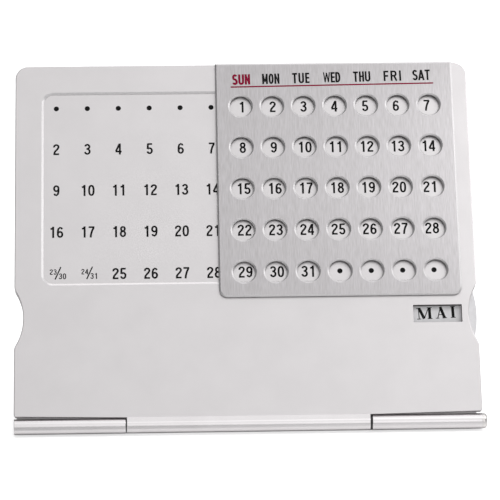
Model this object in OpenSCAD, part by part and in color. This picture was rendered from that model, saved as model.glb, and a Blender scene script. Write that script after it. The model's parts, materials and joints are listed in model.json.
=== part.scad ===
// Perpetual desk calendar. Two leaves on one hinge pin stand like an open book. The front
// panel carries the printed date field, a weekday plate with 35 sight holes that slides
// along the panel's top edge, and a month dial that turns behind a small window.
//
// Panel coordinates run x to the right, y up the panel from the hinge pin's axis and z out
// of its face. Base coordinates run x to the right, y to the back and z up, from the same
// axis. The part's origin is on the desk, under the middle of its bounding box.

/* [Front panel] */
// Width of the front panel and of the base leaf
panel_w = 120; // [112:1:140]
// Height of the front panel, from the hinge pin's axis to its top edge
panel_h = 98.55; // [96:0.05:120]
// Radius of the panel's two upper corners
panel_corner_r = 3.4; // [1:0.1:6]
// Radius of the panel's two lower corners, above the hinge barrel
lower_corner_r = 0.7; // [0.3:0.1:1.5]
// Thickness of the face sheet
face_t = 1.3; // [1:0.1:1.6]
// Thickness of the spacer between the face sheet and the back plate
spacer_t = 0.7; // [0.7:0.05:1.2]
// Thickness of the back plate
back_t = 0.8; // [0.6:0.05:1.2]

/* [Date field] */
// Width of the strip left beside the sunk date field
field_side = 7; // [6:0.1:8]
// Width of the strip left above the sunk date field
field_top = 7.6; // [7:0.1:9]
// Height of the sunk date field
field_h = 53.6; // [48:0.1:56]
// Depth of the sunk date field
field_depth = 0.45; // [0.3:0.05:0.6]
// Radius of the date field's corners
field_corner_r = 3; // [1:0.1:5]

/* [Thumb notches] */
// Radius of the hollow in each side of the panel
notch_r = 14.5; // [12:0.5:18]
// Depth of that hollow
notch_depth = 2.3; // [1.8:0.1:3]
// Radius that rounds each end of the hollow into the panel's side
notch_lead_r = 3; // [1:0.5:5]

/* [Weekday slider] */
// Width of the sliding plate
slider_w = 63.2; // [60:0.1:66]
// Height of the sliding plate
slider_h = 65.2; // [63:0.1:70]
// Thickness of the sliding plate
slider_t = 0.6; // [0.5:0.05:1]
// Gap between the sliding plate and the panel's face
slider_lift = 0.3; // [0.3:0.05:0.6]
// Distance from the sliding plate to the panel's right side, at rest
slider_edge = 3.8; // [3.5:0.1:6]
// Radius of the sliding plate's two lower corners
slider_corner_r = 2.2; // [1:0.1:4]
// Width of the bevel round the front of the sliding plate
slider_bevel = 0.4; // [0.1:0.05:0.4]
// Radius of each sight hole
hole_r = 2.9; // [2.4:0.05:3.1]
// Width of the bevel round the front of each sight hole
hole_bevel = 0.3; // [0.1:0.05:0.4]
// Distance between the columns of sight holes
hole_pitch_x = 8.33; // [7.6:0.01:8.5]
// Distance between the rows of sight holes
hole_pitch_y = 11.55; // [10:0.05:12]
// Distance from the top edge of the sliding plate down to the first row of holes
first_row_drop = 12.2; // [11:0.1:13]

/* [Slider hooks and glides] */
// Thickness of the spring steel of each hook
hook_t = 0.25; // [0.2:0.05:0.3]
// Width of each hook
hook_w = 9; // [6:0.5:12]
// Distance from the sliding plate's side to the hook
hook_inset = 4; // [2:0.5:6]
// Length of the hook's tab behind the sliding plate
hook_tab = 5; // [3:0.5:6]
// Length of the hook's leg behind the panel
hook_leg = 6.9; // [4:0.1:8]
// Height of each glide strip
glide_h = 2.5; // [1.5:0.1:3]
// Distance from the sliding plate's lower edge to the lower glide strip
lower_glide_rise = 0.6; // [0.4:0.1:1]
// Distance from the sliding plate's top edge down to the upper glide strip
upper_glide_drop = 3.8; // [2:0.1:4.3]

/* [Month dial] */
// Radius of the month dial
dial_r = 25; // [23:0.5:26]
// Thickness of the month dial
dial_t = 0.4; // [0.3:0.05:0.4]
// Wall of the spacer left below the dial's pocket, at the panel's lower edge
dial_web = 0.8; // [0.5:0.05:4]
// Distance from the dial's rim to the panel's right side
dial_rim_inset = 0.1; // [0.1:0.1:1]
// Width of the month window
window_w = 12.6; // [10:0.1:14]
// Height of the month window
window_h = 4.7; // [4:0.1:6]
// Distance from the month window to the panel's right side
window_edge = 4.1; // [3.5:0.1:5]
// Radius of the boss that the dial turns on
pivot_r = 2.5; // [2:0.1:4]
// Radius of the rivet end of the pivot, at the back plate's inner face
pivot_neck_r = 1.5; // [1:0.1:1.8]
// Radius of the pivot's countersunk end
pivot_head_r = 2.2; // [2:0.1:3]
// Outer radius of the friction washer behind the dial
dial_washer_r = 5; // [4.5:0.5:9]

/* [Back screws] */
// Radius of each screw's thread
screw_r = 0.8; // [0.6:0.05:1]
// Radius of each screw's countersunk head
screw_head_r = 1.5; // [1.3:0.05:1.8]
// Depth of the countersunk head
screw_head_h = 0.6; // [0.4:0.05:0.6]
// Length of thread in the face sheet
screw_grip = 0.75; // [0.4:0.05:0.8]
// Width of the slot in each screw's head
screw_slot_w = 0.35; // [0.2:0.05:0.5]
// Distance from each outer screw to the panel's side
screw_inset = 3.5; // [3:0.1:4.5]
// Height of the lower screws above the hinge pin's axis
low_screw_y = 8; // [6:0.5:9]
// Height of the middle screws above the hinge pin's axis
mid_screw_y = 62; // [45:1:75]

/* [Hinge] */
// Outer radius of the hinge barrel
barrel_r = 2; // [1.8:0.05:2.5]
// Radius of the hinge pin
pin_r = 1; // [0.7:0.05:1.2]
// Width of the panel's own knuckle, in the middle of the barrel
knuckle_w = 62.4; // [40:0.1:70]
// Gap at the right end of the middle knuckle, filled by a washer
right_gap = 0.5; // [0.35:0.05:0.8]
// Gap at the left end of the middle knuckle, filled by a thinner washer
left_gap = 0.25; // [0.2:0.05:0.8]
// Length of the pin's button head
pin_head_l = 1.2; // [0.8:0.1:2]
// Radius of the pin's button head
pin_head_r = 1.9; // [1.5:0.1:2]
// Radius that rounds the button head
pin_head_round = 0.7; // [0.3:0.1:0.7]
// Gap between the barrel and the lower edge of the panel's rear layers, beside the middle knuckle
edge_gap = 0.35; // [0.3:0.05:0.6]
// Distance by which the face sheet reaches lower than the layers behind it
face_drop = 0.65; // [0:0.05:0.8]
// Amount by which the panel's lower edge rises towards its sides
edge_taper = 0.45; // [0:0.05:1.2]

/* [Base leaf] */
// Angle between the front panel and the base leaf when the calendar stands
stand_angle = 60; // [45:1:75]
// Thickness of the base leaf
leaf_t = 0.8; // [0.6:0.05:0.9]
// Gap between the back plate and the base leaf when the calendar is folded flat
fold_gap = 0.35; // [0.3:0.05:0.5]
// Radius of the base leaf's two rear corners
leaf_corner_r = 3.4; // [1:0.1:6]
// Radius of each rubber foot
foot_r = 4; // [3:0.5:6]
// Thickness of each rubber foot
foot_t = 0.5; // [0.5:0.1:1.5]
// Distance from a foot's centre to the base leaf's side and rear edge
foot_inset = 8; // [6.5:0.5:12]
// Distance from the hinge pin's axis to the centres of the front feet
front_foot_y = 8; // [6.5:0.5:20]

/* [Hidden] */
$fn = 96;
// Facets of a round inside a hull
hull_fn = 32;
// Overshoot of a cut, so that it leaves no skin
cut = 1;
// Thickness of a slice that a hull starts or ends on
slice = 0.01;

// Radial clearance of a pin that turns in its bore
run_gap = 0.05;
// Radial clearance of a pin, rivet or screw that is fixed in its hole
fixed_gap = 0.02;
// Clearance of a flat face that slides or turns past another
slide_gap = 0.05;
// Radial clearance between the outer knuckles and the face sheet's hollow lower edge
turn_gap = 0.1;
// Clearance between the month dial and the face sheet, and round its rim
dial_gap = 0.1;
dial_rim_gap = 0.3;
// How far the base leaf stops short of the slider's hooks when folded flat
leaf_hook_gap = 2.4;
// Depth of the slot in a screw's head
screw_slot_depth = 0.25;

// Levels of the panel's layers, measured from the hinge pin's axis
back_rear = -(barrel_r - leaf_t - fold_gap);
spacer_rear = back_rear + back_t;
face_rear = spacer_rear + spacer_t;
face_front = face_rear + face_t;
slider_rear = face_front + slider_lift;

// Lower edge of the panel's rear layers at the middle knuckle and at their sides
inner_edge = barrel_r + edge_gap;
outer_edge = inner_edge + edge_taper;
knuckle_side = knuckle_w / 2;
left_knuckle_l = panel_w / 2 - knuckle_side - left_gap;
right_knuckle_l = panel_w / 2 - knuckle_side - right_gap;

// Date field
field_w = panel_w - 2 * field_side;
field_bottom = panel_h - field_top - field_h;

// Thumb notch: the distance of its centre and of the rounds that lead into it
notch_x = panel_w / 2 + notch_r - notch_depth;
lead_x = panel_w / 2 - notch_lead_r;
lead_dy = sqrt(pow(notch_r + notch_lead_r, 2) - pow(notch_x - lead_x, 2));

// Weekday slider
slider_x = panel_w / 2 - slider_edge - slider_w / 2;
slider_bottom = panel_h - slider_h;
hole_columns = 7;
hole_rows = 5;
hook_x = slider_w / 2 - hook_inset - hook_w / 2;
upper_glide_w = 2 * hook_x - hook_w - 2 * slider_corner_r;
lower_glide_w = slider_w - 2 * hook_inset;
glide_t = slider_lift - slide_gap;

// Month dial
dial_x = panel_w / 2 - dial_rim_inset - dial_r;
dial_y = inner_edge + dial_web + dial_rim_gap + dial_r;
dial_front = face_rear - dial_gap;
dial_rear = dial_front - dial_t;
window_x = panel_w / 2 - window_edge - window_w / 2;

// Screw places, as panel coordinates
screw_x = panel_w / 2 - screw_inset;
top_screw_y = panel_h - screw_inset;
screw_places = [
    for (x = [-screw_x, screw_x], y = [low_screw_y, mid_screw_y, top_screw_y]) [x, y],
    [0, low_screw_y], [0, top_screw_y]
];

// Base leaf and feet
leaf_depth = panel_h - hook_leg - leaf_hook_gap;
leaf_bottom = -barrel_r;
foot_x = panel_w / 2 - foot_inset;
rear_foot_y = leaf_depth - foot_inset;

// Place of the hinge pin's axis above the desk and inside the bounding box
pin_z = foot_t + barrel_r;
pin_x = -pin_head_l / 2;
pin_y = (barrel_r - leaf_depth) / 2;

satin_white = "#d9d5d6";
brushed_grey = "#c4c1c2";
steel_grey = "#9a9a9c";
dial_grey = "#cfcfd1";
rubber_black = "#2a2a2b";
nylon_black = "#1c1c1d";
felt_grey = "#5c5c5e";

module in_base() translate([pin_x, pin_y, pin_z]) children();
module in_panel() in_base() rotate([stand_angle, 0, 0]) children();
module layer(rear, thickness) translate([0, 0, rear]) linear_extrude(thickness) children();
module both_sides() for (side = [0, 1]) mirror([side, 0, 0]) children();

// A rod along x, from its left end
module x_rod(left, length, radius) translate([left, 0, 0]) rotate([0, 90, 0]) cylinder(h = length, r = radius);

// A rectangle with round corners, centred on x and standing on y = 0
module round_rect(width, height, radius) {
    translate([-width / 2, radius]) square([width, height - 2 * radius]);
    translate([-width / 2 + radius, 0]) square([width - 2 * radius, height]);
    for (x = [-1, 1], y = [radius, height - radius]) translate([x * (width / 2 - radius), y]) circle(radius);
}

// The thumb notch on the right side: a round hollow with a rounded lead-in at each end
module notch_cut() {
    reach = notch_r / (notch_r + notch_lead_r);
    tangent_x = notch_x + (lead_x - notch_x) * reach;
    tangent_dy = lead_dy * reach;
    side = panel_w / 2 + cut;
    translate([0, dial_y]) {
        difference() {
            polygon([[lead_x, lead_dy], [side, lead_dy], [side, -lead_dy],
                     [lead_x, -lead_dy], [tangent_x, -tangent_dy], [tangent_x, tangent_dy]]);
            for (y = [-lead_dy, lead_dy]) translate([lead_x, y]) circle(notch_lead_r);
        }
        translate([notch_x, 0]) circle(notch_r);
    }
}

// The slanting relief above the right outer knuckle, with the panel's round lower corner.
// A drop takes the edge lower.
module edge_relief(drop) {
    corner_x = panel_w / 2 - lower_corner_r;
    side_y = outer_edge - drop;
    polygon([[knuckle_side, -cut], [knuckle_side, inner_edge - drop], [panel_w / 2, side_y],
             [panel_w / 2 + cut, side_y], [panel_w / 2 + cut, -cut]]);
    difference() {
        translate([corner_x, side_y - cut]) square([lower_corner_r + cut, lower_corner_r + cut]);
        translate([corner_x, side_y + lower_corner_r]) circle(lower_corner_r);
    }
}

// The panel's outline, down to the axis in the middle
module panel_outline(drop = 0) {
    difference() {
        union() {
            translate([-panel_w / 2, 0]) square([panel_w, panel_h - panel_corner_r]);
            translate([-panel_w / 2 + panel_corner_r, 0]) square([panel_w - 2 * panel_corner_r, panel_h]);
            for (x = [-1, 1])
                translate([x * (panel_w / 2 - panel_corner_r), panel_h - panel_corner_r]) circle(panel_corner_r);
        }
        both_sides() notch_cut();
        both_sides() edge_relief(drop);
    }
}

// The outline of a layer that stops above the hinge barrel
module inner_outline() {
    difference() {
        panel_outline();
        translate([-knuckle_side - cut, -cut]) square([knuckle_w + 2 * cut, inner_edge + cut]);
    }
}

// Face sheet with its sunk date field, its window and the middle knuckle of the hinge
module front_panel() color(satin_white) in_panel() difference() {
    union() {
        layer(face_rear, face_t) panel_outline(face_drop);
        x_rod(-knuckle_side, knuckle_w, barrel_r);
        translate([-knuckle_side, 0, back_rear]) cube([knuckle_w, inner_edge, face_rear - back_rear]);
    }
    x_rod(-knuckle_side - cut, knuckle_w + 2 * cut, pin_r + run_gap);
    both_sides() x_rod(knuckle_side, panel_w / 2 - knuckle_side + cut, barrel_r + turn_gap);
    translate([0, field_bottom]) layer(face_front - field_depth, field_depth + cut)
        round_rect(field_w, field_h, field_corner_r);
    layer(face_rear - cut, face_t + 2 * cut)
        translate([window_x - window_w / 2, dial_y - window_h / 2]) square([window_w, window_h]);
    for (place = screw_places)
        translate([place[0], place[1], face_rear - cut]) cylinder(h = screw_grip + cut, r = screw_r + fixed_gap);
}

// Spacer with the round pocket that the month dial turns in
module spacer_frame() color(nylon_black) in_panel() layer(spacer_rear, spacer_t) difference() {
    inner_outline();
    translate([dial_x, dial_y]) circle(dial_r + dial_rim_gap);
    for (place = screw_places) translate(place) circle(screw_r + fixed_gap);
}

// Back plate with countersunk holes for the screws and for the dial's pivot
module back_plate() color(satin_white) in_panel() difference() {
    layer(back_rear, back_t) inner_outline();
    for (place = screw_places) translate([place[0], place[1], back_rear]) {
        cylinder(h = screw_head_h, r1 = screw_head_r + fixed_gap, r2 = screw_r + fixed_gap);
        translate([0, 0, -cut]) cylinder(h = back_t + 2 * cut, r = screw_r + fixed_gap);
    }
    translate([dial_x, dial_y, back_rear])
        cylinder(h = back_t, r1 = pivot_head_r + fixed_gap, r2 = pivot_neck_r + fixed_gap);
}

// The slotted countersunk screws that hold the panel's layers together
module back_screws() color(steel_grey) in_panel() for (place = screw_places)
    translate([place[0], place[1], back_rear]) difference() {
        union() {
            cylinder(h = screw_head_h, r1 = screw_head_r, r2 = screw_r);
            cylinder(h = face_rear + screw_grip - back_rear, r = screw_r);
        }
        translate([-screw_head_r - cut, -screw_slot_w / 2, -cut])
            cube([2 * (screw_head_r + cut), screw_slot_w, screw_slot_depth + cut]);
    }

// Month dial, a plain disc whose rim shows in the right thumb notch
module month_dial() color(dial_grey) in_panel() translate([dial_x, dial_y]) layer(dial_rear, dial_t) difference() {
    circle(dial_r);
    circle(pivot_r + run_gap);
}

// Pivot with a boss for the dial, riveted flush into the back plate
module dial_pivot() color(steel_grey) in_panel() translate([dial_x, dial_y]) {
    translate([0, 0, back_rear]) cylinder(h = back_t, r1 = pivot_head_r, r2 = pivot_neck_r);
    translate([0, 0, spacer_rear]) cylinder(h = spacer_t - slide_gap, r = pivot_r);
}

// Thin washer on the pivot that gives the dial its drag
module dial_washer() color(felt_grey) in_panel() translate([dial_x, dial_y])
    layer(spacer_rear, dial_rear - slide_gap - spacer_rear) difference() {
        circle(dial_washer_r);
        circle(pivot_r + run_gap);
    }

// The sliding plate's outline, drawn in from its edge by an inset
module slider_outline(inset) {
    width = slider_w - 2 * inset;
    height = slider_h - 2 * inset;
    radius = slider_corner_r - inset;
    translate([0, inset]) {
        translate([-width / 2, radius]) square([width, height - radius]);
        translate([-width / 2 + radius, 0]) square([width - 2 * radius, height]);
        for (x = [-1, 1]) translate([x * (width / 2 - radius), radius]) circle(radius);
    }
}

// Weekday plate with a grid of bevelled sight holes
module slider_plate() color(brushed_grey) in_panel() translate([slider_x, slider_bottom, slider_rear]) difference() {
    union() {
        linear_extrude(slider_t - slider_bevel) slider_outline(0);
        hull() {
            translate([0, 0, slider_t - slider_bevel - slice])
                linear_extrude(slice) slider_outline(0, $fn = hull_fn);
            translate([0, 0, slider_t - slice]) linear_extrude(slice) slider_outline(slider_bevel, $fn = hull_fn);
        }
    }
    for (column = [0 : hole_columns - 1], row = [0 : hole_rows - 1])
        translate([(column - (hole_columns - 1) / 2) * hole_pitch_x,
                   slider_h - first_row_drop - row * hole_pitch_y, 0]) {
            translate([0, 0, -cut]) cylinder(h = slider_t + 2 * cut, r = hole_r);
            translate([0, 0, slider_t - hole_bevel])
                cylinder(h = 2 * hole_bevel, r1 = hole_r, r2 = hole_r + 2 * hole_bevel);
        }
}

// Spring hook: a tab behind the sliding plate, a web over the top edge, a leg down the back
module slider_hook(x) color(steel_grey) in_panel() translate([slider_x + x - hook_w / 2, 0]) {
    web_y = panel_h + slide_gap;
    leg_rear = back_rear - slide_gap - hook_t;
    translate([0, panel_h - hook_tab, slider_rear - hook_t]) cube([hook_w, hook_tab + slide_gap + hook_t, hook_t]);
    translate([0, web_y, leg_rear]) cube([hook_w, hook_t, slider_rear - leg_rear]);
    translate([0, panel_h - hook_leg, leg_rear]) cube([hook_w, hook_leg + slide_gap + hook_t, hook_t]);
}
module slider_hook_left() slider_hook(-hook_x);
module slider_hook_right() slider_hook(hook_x);

// Low-friction strip bonded behind the sliding plate, given by its lower edge and width
module glide(bottom, width) color(felt_grey) in_panel()
    translate([slider_x - width / 2, bottom, slider_rear - glide_t]) cube([width, glide_h, glide_t]);
module upper_glide() glide(panel_h - upper_glide_drop - glide_h, upper_glide_w);
module lower_glide() glide(slider_bottom + lower_glide_rise, lower_glide_w);

// Base leaf that lies on the desk, with the two outer knuckles of the hinge
module base_leaf() color(satin_white) in_base() difference() {
    union() {
        layer(leaf_bottom, leaf_t) difference() {
            union() {
                translate([-panel_w / 2, 0]) square([panel_w, leaf_depth - leaf_corner_r]);
                translate([-panel_w / 2 + leaf_corner_r, 0]) square([panel_w - 2 * leaf_corner_r, leaf_depth]);
                for (x = [-1, 1])
                    translate([x * (panel_w / 2 - leaf_corner_r), leaf_depth - leaf_corner_r]) circle(leaf_corner_r);
            }
            translate([-knuckle_side - left_gap, -cut])
                square([left_gap + knuckle_w + right_gap, inner_edge + cut]);
        }
        x_rod(-panel_w / 2, left_knuckle_l, barrel_r);
        x_rod(knuckle_side + right_gap, right_knuckle_l, barrel_r);
    }
    x_rod(-panel_w / 2 - cut, panel_w + 2 * cut, pin_r + fixed_gap);
}

// Hinge pin with a rounded button head at its right end
module hinge_pin() color(steel_grey) in_base() {
    x_rod(-panel_w / 2, panel_w + slice, pin_r);
    translate([panel_w / 2, 0, 0]) rotate([0, 90, 0]) rotate_extrude() {
        square([pin_head_r - pin_head_round, pin_head_l]);
        square([pin_head_r, pin_head_l - pin_head_round]);
        intersection() {
            translate([pin_head_r - pin_head_round, pin_head_l - pin_head_round]) circle(pin_head_round);
            square([pin_head_r, pin_head_l]);
        }
    }
}

// Washer between two knuckles, given by the left end and the width of the gap that it fills
module hinge_washer(left, gap) color(nylon_black) in_base() difference() {
    x_rod(left + slide_gap, gap - 2 * slide_gap, barrel_r - slide_gap);
    x_rod(left - cut, gap + 2 * cut, pin_r + fixed_gap);
}
module hinge_washer_left() hinge_washer(-knuckle_side - left_gap, left_gap);
module hinge_washer_right() hinge_washer(knuckle_side, right_gap);

// Rubber foot under the base leaf
module foot(x, y) color(rubber_black) in_base() translate([x, y]) layer(leaf_bottom - foot_t, foot_t) circle(foot_r);
module foot_front_left() foot(-foot_x, front_foot_y);
module foot_front_right() foot(foot_x, front_foot_y);
module foot_rear_left() foot(-foot_x, rear_foot_y);
module foot_rear_right() foot(foot_x, rear_foot_y);

front_panel();
spacer_frame();
back_plate();
back_screws();
month_dial();
dial_pivot();
dial_washer();
slider_plate();
slider_hook_left();
slider_hook_right();
upper_glide();
lower_glide();
base_leaf();
hinge_pin();
hinge_washer_left();
hinge_washer_right();
foot_front_left();
foot_front_right();
foot_rear_left();
foot_rear_right();
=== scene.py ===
# %% [markdown]
# # A perpetual desk calendar in Blender
#
# The calendar is two leaves of sheet aluminium on one hinge pin. The front panel leans back
# and carries printed day numbers, a sliding weekday plate with sight holes, and a month dial
# behind a small window. The engineering model is already made and stays where it is. This
# lesson gives it edges, finishes, printing, light and a camera.

import json
import math

import bmesh
import bpy
from mathutils import Matrix, Vector


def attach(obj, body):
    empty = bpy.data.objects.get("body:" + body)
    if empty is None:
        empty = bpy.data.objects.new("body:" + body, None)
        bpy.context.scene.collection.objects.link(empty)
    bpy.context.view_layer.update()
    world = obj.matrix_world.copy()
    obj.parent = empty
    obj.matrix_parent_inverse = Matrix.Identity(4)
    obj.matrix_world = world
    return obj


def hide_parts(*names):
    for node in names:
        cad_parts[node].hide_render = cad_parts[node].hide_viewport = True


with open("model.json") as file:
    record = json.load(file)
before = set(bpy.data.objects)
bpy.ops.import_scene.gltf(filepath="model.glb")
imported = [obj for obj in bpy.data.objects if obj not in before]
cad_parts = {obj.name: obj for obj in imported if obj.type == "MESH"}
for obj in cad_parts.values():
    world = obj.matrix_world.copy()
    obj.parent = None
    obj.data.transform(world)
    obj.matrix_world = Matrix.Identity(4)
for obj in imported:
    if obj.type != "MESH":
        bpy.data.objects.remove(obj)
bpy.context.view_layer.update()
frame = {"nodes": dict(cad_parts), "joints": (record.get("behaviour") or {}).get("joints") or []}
cad_nodes = frame["nodes"]
joints = {joint["name"]: joint for joint in frame["joints"]}

# %% [markdown]
# ## Working in millimetres on a leaning panel
#
# The panel leans back, so its own directions are not the world's. Pieces could be modelled in
# world coordinates, but every outline would then need trigonometry. It is easier to draw each
# piece flat, in millimetres, and to let one matrix stand it up. The hinge pin and the dial's
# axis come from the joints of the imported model, so the matrix fits it exactly.

# %% Panel and base coordinates
MM = 0.001
hinge_point = Vector(joints["panel_fold"]["pos_m"])
panel_right = Vector(joints["panel_fold"]["axis"]).normalized()
panel_out = Vector(joints["dial_turn"]["axis"]).normalized()
panel_up = panel_out.cross(panel_right)


def axes_matrix(right, up, out, origin):
    """A matrix that takes millimetres along three axes to metres in the frame."""
    rotation = Matrix((right, up, out)).transposed().to_4x4()
    return Matrix.Translation(origin) @ rotation @ Matrix.Scale(MM, 4)


in_panel = axes_matrix(panel_right, panel_up, panel_out, hinge_point)
in_base = axes_matrix(Vector((1, 0, 0)), Vector((0, 1, 0)), Vector((0, 0, 1)), hinge_point)
lean = math.degrees(math.acos(panel_out.dot(Vector((0, -1, 0)))))
print(f"the panel leans back {lean:.1f} degrees")

# %% [markdown]
# ## Camera
#
# The calendar is seen from in front, a little above the desk, through a long lens that keeps
# its sides almost parallel. The lens is given for Blender's standard 36 mm sensor. A camera
# could be turned by three angles, but three directions are easier to check: what is right,
# what is ahead, and what is up.

# %% Camera
LENS_MM = 198.6
CAMERA_CLIP = (0.05, 20)
camera_at = Vector((-0.02335, -0.72712, 0.18589))
camera_right = Vector((0.99937, -0.03505, -0.00493)).normalized()
camera_ahead = Vector((0.03338, 0.97970, -0.19770)).normalized()
camera_up = camera_right.cross(camera_ahead).normalized()
camera_ahead = camera_up.cross(camera_right)
camera = bpy.data.objects.new("camera", bpy.data.cameras.new("camera"))
bpy.context.collection.objects.link(camera)
camera.data.lens = LENS_MM
camera.data.clip_start, camera.data.clip_end = CAMERA_CLIP
turn = Matrix((camera_right, camera_up, -camera_ahead)).transposed().to_4x4()
camera.matrix_world = Matrix.Translation(camera_at) @ turn
bpy.context.scene.camera = camera
print("camera is", round(camera_at.length * 1000), "mm from the middle of the desk")

# %% [markdown]
# ## Colour and node helpers
#
# A colour is picked on a screen as an sRGB hex value, but Blender shades with linear light,
# so one function converts it. A second one adds a shader node with its settings and links in
# a single call, which keeps each material readable as a recipe. A third one starts a material.

# %% Colours and nodes
def linear(hex_colour, alpha=1.0):
    """An sRGB colour such as '#d5d2d3' as linear red, green, blue and alpha."""
    channels = [int(hex_colour[i:i + 2], 16) / 255 for i in (1, 3, 5)]
    toe = 0.04045
    return [c / 12.92 if c <= toe else ((c + 0.055) / 1.055) ** 2.4 for c in channels] + [alpha]


def add(tree, kind, inputs=None, **settings):
    """A new node. Its inputs are values, sockets, or nodes that give their first output."""
    node = tree.nodes.new(kind)
    for name, value in settings.items():
        setattr(node, name, value)
    for name, value in (inputs or {}).items():
        if isinstance(value, bpy.types.Node):
            value = value.outputs[0]
        if isinstance(value, bpy.types.NodeSocket):
            tree.links.new(value, node.inputs[name])
        else:
            node.inputs[name].default_value = value
    return node


def new_material(name):
    """An empty node material and its tree, with the output node ready."""
    material = bpy.data.materials.new(name)
    material.use_nodes = True
    material.node_tree.nodes.clear()
    output = add(material.node_tree, "ShaderNodeOutputMaterial")
    return material, material.node_tree, output


print("pale aluminium in linear light:", [round(c, 3) for c in linear("#d5d2d3")])

# %% [markdown]
# ## What metal sees of the desk
#
# The calendar stands on white paper. What the camera sees of the paper glows a little, so that
# open paper is plain white while the calendar's shadow still darkens it. Metal mirrors the
# paper too, and there it is less bright: the paper right below the hinge is well lit, and in
# front of it lies a band of shade, deepest on the left. That band draws the thin dark line
# along the barrels. Both are painted by place, with steps that go smoothly from 0 to 1 along
# Y. Matt surfaces see no glow, so it adds no light to the scene.

# %% Glow of the paper
SEEN_GLOW, HINGE_GLOW = 0.62, 0.41
SHADE_GLOW_LEFT, SHADE_GLOW_RIGHT = 0.0, 0.18
HALF_WIDTH_M = 0.06
# Each step along Y: its front and rear end in metres, then its level at the two
STEPS = {
    "strip_rear": (-0.0453, -0.0444, 1.0, 0.0),
    "strip_front": (-0.0500, -0.0465, 0.0, 1.0),
    "shade_rear": (-0.0500, -0.0465, 1.0, 0.0),
    "shade_front": (-0.0680, -0.0560, 0.0, 1.0),
}
desk_paper, tree, desk_output = new_material("matt_white_paper")
position = add(tree, "ShaderNodeNewGeometry").outputs["Position"]
place = add(tree, "ShaderNodeSeparateXYZ", {"Vector": position})
step = {}
for name, (front, rear, at_front, at_rear) in STEPS.items():
    step[name] = add(tree, "ShaderNodeMapRange",
                     {"Value": place.outputs["Y"], "From Min": front, "From Max": rear,
                      "To Min": at_front, "To Max": at_rear}, interpolation_type="SMOOTHSTEP")
shade_glow = add(tree, "ShaderNodeMapRange",
                 {"Value": place.outputs["X"], "From Min": -HALF_WIDTH_M, "From Max": HALF_WIDTH_M,
                  "To Min": SHADE_GLOW_LEFT, "To Max": SHADE_GLOW_RIGHT},
                 interpolation_type="SMOOTHSTEP")
in_strip = add(tree, "ShaderNodeMath", {0: step["strip_rear"], 1: step["strip_front"]},
               operation="MULTIPLY")
in_shade = add(tree, "ShaderNodeMath", {0: step["shade_rear"], 1: step["shade_front"]},
               operation="MULTIPLY")
band_glow = add(tree, "ShaderNodeMath", {0: in_shade, 1: shade_glow}, operation="MULTIPLY")
mirrored_glow = add(tree, "ShaderNodeMath", {0: in_strip, 1: HINGE_GLOW, 2: band_glow},
                    operation="MULTIPLY_ADD")
print("the paper's glow changes at", len(STEPS), "places along Y")

# %% [markdown]
# ## White desk
#
# A plain square stands for the desk. Its paper is a matt white diffuse surface with faint
# fibres of about 3 mm, and the glow is added to it. The noise that draws them has no
# coordinates of its own, so it spans the whole desk once. It lies a hair below the feet, so
# that no two faces coincide.

# %% Desk
DESK_SIZE, HAIR = 3.0, 0.00004
FIBRE_MM = 10 / 3
ray = add(tree, "ShaderNodeLightPath")
seen = add(tree, "ShaderNodeMath", {0: ray.outputs["Is Camera Ray"],
                                    1: ray.outputs["Is Transmission Ray"]}, operation="MAXIMUM")
metal_sees = add(tree, "ShaderNodeMath", {0: ray.outputs["Is Glossy Ray"], 1: mirrored_glow},
                 operation="MULTIPLY")
glow_strength = add(tree, "ShaderNodeMath", {0: seen, 1: SEEN_GLOW, 2: metal_sees},
                    operation="MULTIPLY_ADD")
fibre = add(tree, "ShaderNodeTexNoise",
            {"Scale": DESK_SIZE / (FIBRE_MM * MM), "Detail": 4.0})
fibre_bump = add(tree, "ShaderNodeBump",
                 {"Height": fibre.outputs["Fac"], "Strength": 0.05, "Distance": 0.2 * MM})
paper = add(tree, "ShaderNodeBsdfDiffuse", {"Color": linear("#f2f2f2"), "Normal": fibre_bump})
glow = add(tree, "ShaderNodeEmission", {"Color": linear("#ffffff"), "Strength": glow_strength})
both = add(tree, "ShaderNodeAddShader", {0: paper, 1: glow})
tree.links.new(both.outputs[0], desk_output.inputs["Surface"])

far = DESK_SIZE / 2
desk_mesh = bpy.data.meshes.new("desk")
desk_mesh.from_pydata([(-far, -far, 0), (far, -far, 0), (far, far, 0), (-far, far, 0)],
                      [], [(0, 1, 2, 3)])
desk_mesh.materials.append(desk_paper)
desk = bpy.data.objects.new("desk", desk_mesh)
bpy.context.collection.objects.link(desk)
desk.location.z = -HAIR
print("desk is", DESK_SIZE, "m wide")

# %% [markdown]
# ## Room
#
# Satin metal shows its surroundings, so the room matters more than the lamps. A picture of a
# studio could surround the scene, but a few soft patches are easier to steer. The room is dim
# all round. A column of patches stands in front and rises overhead, its brightest ones partly
# to the right, and others lie behind and on the right. Each patch is a power of the cosine
# between a direction and the patch's own: a low power is wide, a high one narrow. The camera
# itself sees plain white.

# %% Room
ROOM_BASE = 0.18
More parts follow.
